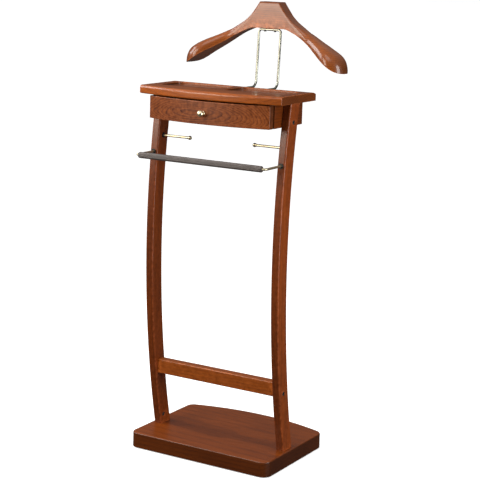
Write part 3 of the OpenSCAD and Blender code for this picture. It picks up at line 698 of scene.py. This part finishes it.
def post_y(z, offset):
    """Y of a post's arc at height z, at an offset to the front of its middle line."""
    lo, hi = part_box("right_post")
    rise, run = hi.z - lo.z, POST_HEAD_Y - POST_FOOT_Y
    chord = math.hypot(rise, run)
    r = arc_radius(chord, POST_BOW)
    cy = middle(POST_FOOT_Y, POST_HEAD_Y) + rise / chord * (r - POST_BOW)
    cz = middle(lo.z, hi.z) - run / chord * (r - POST_BOW)
    return cy - math.sqrt((r + offset) ** 2 - (z - cz) ** 2)


def make_post(paints, side):
    """The left post for side -1, the right post for side 1."""
    lo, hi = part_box("right_post")
    steps = 90
    rings = []
    for k in range(steps + 1):
        z = lo.z + (hi.z - lo.z) * k / steps
        front, rear = post_y(z, POST_DEPTH / 2), post_y(z, -POST_DEPTH / 2)
        outline = rounded_rect(lo.x, front, hi.x, rear, 3.6 * MM, 5)
        rings.append([(x, y, z) for x, y in outline])
    post = loft(rings)
    eased = 0.7 * MM
    holes = []
    for node in ("rail_bolts", "case_bolts"):
        bolt = node_middle(node)
        mouth = (hi.x, bolt.y, bolt.z)
        holes.append(cylinder(mouth, (1, 0, 0), BOLT_BORE_R, -7 * MM, PAST))
        holes.append(cylinder(mouth, (1, 0, 0), BOLT_BORE_R + eased, -eased, PAST))
    nut = node_middle("base_barrel_nuts")
    holes.append(cylinder((lo.x, nut.y, nut.z), (1, 0, 0), NUT_BORE_R, -PAST, 16 * MM))
    if side < 0:
        post = mirrored(post)
        holes = [mirrored(h) for h in holes]
    node = "left_post" if side < 0 else "right_post"
    piece(node + "_wood", post, paints[node], "stand", node, cutters=holes)


def make_rail(paints):
    lo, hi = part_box("lower_rail")
    outline = rounded_rect(lo.y, lo.z, hi.y, hi.z, 3.0 * MM, 5)
    spans = 20
    xs = [lo.x + (hi.x - lo.x) * i / spans for i in range(spans + 1)]
    rail = loft([[(x, y, z) for y, z in outline] for x in xs])
    nut_lo, nut_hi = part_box("rail_barrel_nuts")
    nut_x, nut_z = nut_hi.x - NUT_R, middle(nut_lo.z, nut_hi.z)
    holes = [cylinder((s * nut_x, hi.y, nut_z), (0, 1, 0), NUT_BORE_R, -12 * MM, PAST) for s in (-1, 1)]
    piece("rail", rail, paints["rail"], "stand", "lower_rail", cutters=holes)


def make_tray(paints):
    """Board with a soft bowed front edge, a sloped rear edge, eased ends and two pockets."""
    lo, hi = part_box("tray_top")
    half_w = hi.x
    r = arc_radius(2 * half_w, FRONT_BOW)
    eased, flat = 1.4 * MM, 0.4 * MM
    under_r, over_r = 3.5 * MM, 7 * MM       # front edge, its lower and upper rounding
    slope_y, slope_z = 18 * MM, 6 * MM       # rear edge, depth and height of its slope
    rear_r = 1.5 * MM

    def profile(x):
        """Section in the Y-Z plane."""
        front = lo.y + r - math.sqrt(r * r - x * x)
        out = [(hi.y - rear_r, lo.z)]
        out += [(front + under_r * (1 - math.sin(a)), lo.z + under_r * (1 - math.cos(a)))
                for a in quarter(8)]
        out += [(front + over_r * (1 - math.cos(a)), hi.z - over_r * (1 - math.sin(a)))
                for a in quarter(14)]
        out += [(front + over_r + 0.5 * MM, hi.z), (hi.y - slope_y - 0.5 * MM, hi.z)]
        out += [(hi.y - slope_y * (1 - math.cos(a)), hi.z - slope_z * (1 - math.sin(a)))
                for a in reversed(quarter(10))]
        out += [(hi.y, lo.z + rear_r), (hi.y - flat, lo.z + flat)]
        return out[::-1]

    whole = half_w - eased
    inner = [(i / 60 * whole, 0.0) for i in range(-60, 61)]
    ends = [(half_w, eased + flat)]
    ends += [(half_w - eased * (1 - math.cos(a)), eased * (1 - math.sin(a))) for a in quarter(4)[:-1]]
    stations = [(-x, d) for x, d in ends] + inner + ends[::-1]
    rings = []
    for x, d in stations:
        section = profile(min(max(x, -whole), whole))
        rings.append([(x, y, z) for y, z in inset(section, d)])

    lip, root = 0.7 * MM, 1.5 * MM
    floor_z = hi.z - POCKET_DEPTH
    wall = [(root * (1 - math.sin(a)), floor_z + root * (1 - math.cos(a))) for a in quarter(4)]
    wall += [(-lip * (1 - math.cos(a)), hi.z - lip * (1 - math.sin(a))) for a in quarter(4)]
    wall.append((-lip, hi.z + PAST))
    pockets = []
    for s in (-1, 1):
        x0, x1 = sorted(s * x for x in POCKET_X)
        outline = rounded_rect(x0, POCKET_Y[0], x1, POCKET_Y[1], 14 * MM, 10)
        pockets.append(loft([[(x, y, z) for x, y in inset(outline, d)] for d, z in wall]))
    piece("tray", loft(rings), paints["tray"], "stand", "tray_top", cutters=pockets)


def make_drawer_front(paints):
    lo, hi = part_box("drawer_front")
    half_w = hi.x
    r = arc_radius(2 * half_w, FRONT_BOW)
    swing = math.degrees(math.asin(half_w / r))
    outline = arc_points(0, lo.y + r, r, 270 - swing, 270 + swing, 64)
    outline += [(half_w, hi.y), (-half_w, hi.y)]
    eased, spans = 1.3 * MM, 4
    eased_outline = []
    for i, p in enumerate(outline):
        p = Vector(p)
        a, b = Vector(outline[i - 1]) - p, Vector(outline[(i + 1) % len(outline)]) - p
        if a.angle(b) > math.radians(150):   # a point of the arc, not a corner
            eased_outline.append(tuple(p))
            continue
        a, b = a.normalized(), b.normalized()
        for t in (k / spans for k in range(spans + 1)):
            eased_outline.append(tuple(p + a * eased * (1 - t) ** 2 + b * eased * t ** 2))
    board = loft(slab_rings(eased_outline, lo.z, hi.z, 1.5 * MM, 1.5 * MM, 4))
    piece("drawer_face", board, paints["drawer_front"], "drawer", "drawer_front")


def make_knob(paints):
    lo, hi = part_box("drawer_knob")
    reach, ball_r, neck_deg = hi.y - lo.y, 7.9 * MM, 152
    flange_and_neck = ((0, 0), (0, 5.2), (0.5, 5.9), (1.1, 5.9), (1.7, 5.3), (2.3, 4.2), (3.2, 3.55),
                       (4.0, 3.6))
    profile = [(along * MM, radius * MM) for along, radius in flange_and_neck]
    profile += arc_points(reach - ball_r, 0, ball_r, neck_deg, 0, 22)
    knob = lathe(profile, (0, hi.y, middle(lo.z, hi.z)), (0, -1, 0), 56)
    piece("knob", knob, paints["brass"], "drawer", "drawer_knob")


def make_bar(paints):
    lo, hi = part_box("trouser_bar")
    x, front, back, z = hi.x - ROD_R, lo.y + ROD_R, hi.y, middle(lo.z, hi.z)
    bend_r = 8 * MM
    corners = [(-x, back, z), (-x, front, z), (x, front, z), (x, back, z)]
    rod = tube(filleted(corners, [bend_r, bend_r], 12), ROD_R)
    piece("bar_rod", rod, paints["brass"], "stand", "trouser_bar")


def make_grip(paints):
    """Foam sleeve with fine lengthwise ribs and softly rounded ends."""
    lo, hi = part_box("bar_grip")
    y, z, outer = middle(lo.y, hi.y), middle(lo.z, hi.z), (hi.z - lo.z) / 2
    ribs, per_rib, groove_depth = 30, 6, 0.45 * MM
    steps = ribs * per_rib
    end_len, spans = 2.4 * MM, 40
    # stations as (x, share of the full radius)
    start = [(lo.x, 0.52), (lo.x, 0.80), (lo.x + 0.4 * MM, 0.90), (lo.x + 1.2 * MM, 0.97),
             (lo.x + end_len, 1.0)]
    straight = hi.x - lo.x - 2 * end_len
    between = [(lo.x + end_len + straight * i / spans, 1.0) for i in range(1, spans)]
    rings = []
    for x, share in start + between + [(-x, share) for x, share in reversed(start)]:
        ring = []
        for i in range(steps):
            a = 2 * math.pi * i / steps
            groove = groove_depth * (0.5 - 0.5 * math.cos(2 * math.pi * (i % per_rib) / per_rib))
            radius = (outer - groove * (share > 0.95)) * share
            ring.append((x, y + radius * math.sin(a), z + radius * math.cos(a)))
        rings.append(ring)
    grip = piece("grip", loft(rings), paints["foam"], "stand", "bar_grip")


def rim(centre, axis):
    """Small trim ring about a rod, with a rounded outer edge."""
    bore, r = ROD_R + 0.05 * MM, 0.7 * MM
    section = [(0.0, bore), (0.0, FERRULE_R - 0.2 * MM)]
    section += [(FERRULE_T - r + r * math.sin(a), FERRULE_R - r + r * math.cos(a)) for a in quarter(5)]
    section += [(FERRULE_T, bore + 0.5 * MM), (FERRULE_T - 0.5 * MM, bore)]
    return lathe_closed(section, centre, axis)


def make_ferrules(paints):
    lo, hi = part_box("bar_ferrules")
    x, y, z = hi.x - FERRULE_R, lo.y + FERRULE_T, middle(lo.z, hi.z)
    rims = [rim((s * x, y, z), (0, -1, 0)) for s in (-1, 1)]
    piece("bar_rims", join(*rims), paints["black"], "stand", "bar_ferrules")
    at = node_middle("peg_ferrules")
    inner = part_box("right_post")[0].x - 0.05 * MM
    rims = [rim((s * inner, at.y, at.z), (-s, 0, 0)) for s in (-1, 1)]
    piece("peg_rims", join(*rims), paints["black"], "stand", "peg_ferrules")


def make_pegs(paints):
    spans = 12
    for node, s in (("left_peg", -1), ("right_peg", 1)):
        lo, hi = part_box(node)
        y, z = middle(lo.y, hi.y), middle(lo.z, hi.z)
        x0, x1 = sorted((abs(lo.x), abs(hi.x)))
        path = [(s * (x0 + (x1 - x0) * i / spans), y, z) for i in range(spans + 1)]
        piece(node + "_rod", tube(path, ROD_R), paints["brass"], "stand", node)
    lo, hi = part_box("peg_balls")
    y, z, r = middle(lo.y, hi.y), middle(lo.z, hi.z), 5 * MM
    profile = [(-r * math.cos(math.radians(a)), r * math.sin(math.radians(a))) for a in range(0, 143, 6)]
    profile += [(4.2 * MM, 3.6 * MM), (5.6 * MM, 3.5 * MM), (5.9 * MM, 3.05 * MM)]
    balls = [lathe(profile, (s * (hi.x - r), y, z), (s, 0, 0)) for s in (-1, 1)]
    piece("balls", join(*balls), paints["brass"], "stand", "peg_balls")


def make_wire(paints):
    """Two legs out of the tray's back edge, bent upwards and joined under the hanger."""
    lo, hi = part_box("hanger_wire")
    leg_x, leg_z, top_z = 30.5 * MM, lo.z + ROD_R, hi.z - ROD_R
    lean, bend_r, top_r, foot_y = math.radians(3.5), 18 * MM, 7 * MM, 119.5 * MM
    corner_y = foot_y + bend_r * math.tan((QUARTER - lean) / 2)
    top_y = corner_y + (top_z - leg_z) * math.tan(lean)
    leg = [(lo.y, leg_z), (corner_y, leg_z), (top_y, top_z)]
    corners = [(-leg_x, y, z) for y, z in leg] + [(leg_x, y, z) for y, z in reversed(leg)]
    path = filleted(corners, [bend_r, top_r, top_r, bend_r], 14)
    piece("wire", tube(path, ROD_R, 28), paints["chrome"], "stand", "hanger_wire")


# Shape tables of the hanger in millimetres, as (distance from its middle, value), as in the CAD
# source. The values of UNDER are measured from the underside at its middle, those of FRONT and REAR
# from HANGER_Y.
THICK = [(28, 64.5), (40, 47.5), (50, 35), (64, 26.5), (80, 23), (100, 22.8), (120, 25.5), (145, 29),
         (170, 33), (190, 36), (225, 36.5)]
UNDER = [(0, 0), (44, 0), (56, -2.5), (66, -6.5), (80, -12.5), (100, -23.5), (120, -36), (145, -51.5),
         (170, -66.5), (190, -79.5), (207, -89.5), (219, -94), (225, -95)]
FRONT = [(0, -17), (44, -17), (56, -18), (88, -20.5), (100, -22.5), (120, -28.5), (145, -43.5),
         (170, -59.5), (190, -65), (225, -65)]
REAR = [(0, 17), (100, 18), (130, 17.5), (145, 16), (170, 13), (190, 11), (225, 11)]
BLOCK_HALF = 28              # half width of the neck block
TABLE_END = 225              # where the tables end and the ends close
LAST_RING = 224.5            # the outermost ring, just short of it
NARROW_FROM = 188            # from here the ends round off as seen from above
LOWER_FROM = 202             # from here they round off as seen from the front
BOXY_UNTIL, ROUND_FROM = 44, 112     # where the section turns from nearly square to oval
SQUARE, OVAL = 14, 2.5       # exponents of the section's superellipse


def curve(table, x):
    """Cubic curve through (x, value) pairs, level where they turn or run flat."""
    i = max(k for k in range(len(table) - 1) if k == 0 or x >= table[k][0])

    def secant(k):
        return (table[k + 1][1] - table[k][1]) / (table[k + 1][0] - table[k][0])

    def slope(k):
        if k == 0:
            return secant(0)
        if k == len(table) - 1:
            return secant(k - 1)
        return (secant(k - 1) + secant(k)) / 2 if secant(k - 1) * secant(k) > 0 else 0.0

    w = table[i + 1][0] - table[i][0]
    t = min(max((x - table[i][0]) / w, 0.0), 1.0)
    return (table[i][1] * (1 + 2 * t) * (1 - t) ** 2 + slope(i) * w * t * (1 - t) ** 2
            + table[i + 1][1] * t * t * (3 - 2 * t) + slope(i + 1) * w * t * t * (t - 1))


def round_off(x, start):
    """Share of the full size at x, falling along a quarter ellipse from start to TABLE_END."""
    return 1.0 if x <= start else math.sqrt(max(0.0, 1 - ((x - start) / (TABLE_END - start)) ** 2))


def section_exponent(s):
    """How square the hanger's section is at the distance s from its middle."""
    if s < BOXY_UNTIL:
        return SQUARE
    if s > ROUND_FROM:
        return OVAL
    turned = math.sin(QUARTER * (s - BOXY_UNTIL) / (ROUND_FROM - BOXY_UNTIL))
    return SQUARE - (SQUARE - OVAL) * turned


def hanger_ring(x, spread, under_z, steps=56):
    """Section of the hanger at x: a half superellipse over a flat underside."""
    s = abs(x)
    front, rear = curve(FRONT, s), curve(REAR, s)
    half = (rear - front) / 2 * round_off(s, NARROW_FROM)
    tall = (THICK[0][1] if s <= BLOCK_HALF else curve(THICK, s)) * round_off(s, LOWER_FROM)
    power = 2 / section_exponent(s)
    out = []
    for i in range(steps + 1):
        a = math.pi * i / steps
        c, h = math.cos(a), max(math.sin(a), 0.0)
        out.append(Vector((
            x * spread,
            HANGER_Y + (middle(front, rear) + half * math.copysign(abs(c) ** power, c)) * MM,
            under_z + (curve(UNDER, s) + tall * h ** power) * MM,
        )))
    # points across the underside, two of them close to its edges
    left, right = out[-1], out[0]
    return out + [left.lerp(right, k) for k in (0.04, 0.5, 0.96)]


def make_hanger(paints):
    lo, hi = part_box("hanger")
    under_z = hi.z - THICK[0][1] * MM
    spread = hi.x / LAST_RING
    # rings lie closest where the shape turns fastest: at the block's shoulder and at the ends
    half_xs = [0, 8, 16, 23, 27.4, 28.0, 28.8] + list(range(30, 50, 2))
    for start, gap, count in ((50, 2.5, 54), (185, 2, 14), (212, 1.2, 8)):
        half_xs += [start + gap * i for i in range(count)]
    half_xs += [221.4, 222.4, 223.3, 224.0, LAST_RING]
    xs = [-x for x in reversed(half_xs[1:])] + half_xs
    body = loft([hanger_ring(x, spread, under_z) for x in xs])
    piece("hanger_wood", body, paints["hanger"], "stand", "hanger", sharp=40.0)


def dress_cad_nodes(paints):
    """Paints and softens the CAD nodes that stay: boards inside, runners and fasteners."""
    by_slot = {
        "cherry_wood": "case", "inside_wood": "inside", "dowel_wood": "dowel", "brass": "brass",
        "chrome": "chrome", "zinc": "zinc", "grip_foam": "foam", "black_trim": "black",
        "glide_plastic": "glide", "hanger_wood": "hanger", "drawer_front_wood": "drawer_front",
    }
    crosswise = ("drawer_back", "drawer_bottom", "drawer_stop")
    for row in frame["record"]["subparts"]:
        ob = frame["nodes"][row["node"]]
        if ob.hide_render:               # a rebuilt piece stands for it
            continue
        paint = paints["inside_x" if row["node"] in crosswise else by_slot[row["material_slot"]]]
        ob.data.materials.clear()
        ob.data.materials.append(paint)
        weld = ob.modifiers.new("weld", "WELD")
        weld.merge_threshold = 0.01 * MM
        soften(ob, bevel=0.25 * MM)


make_camera()
make_studio()
paints = make_paints()
make_base(paints)
make_post(paints, -1)
make_post(paints, 1)
make_rail(paints)
make_tray(paints)
make_drawer_front(paints)
make_knob(paints)
make_bar(paints)
make_grip(paints)
make_ferrules(paints)
make_pegs(paints)
make_wire(paints)
make_hanger(paints)
dress_cad_nodes(paints)
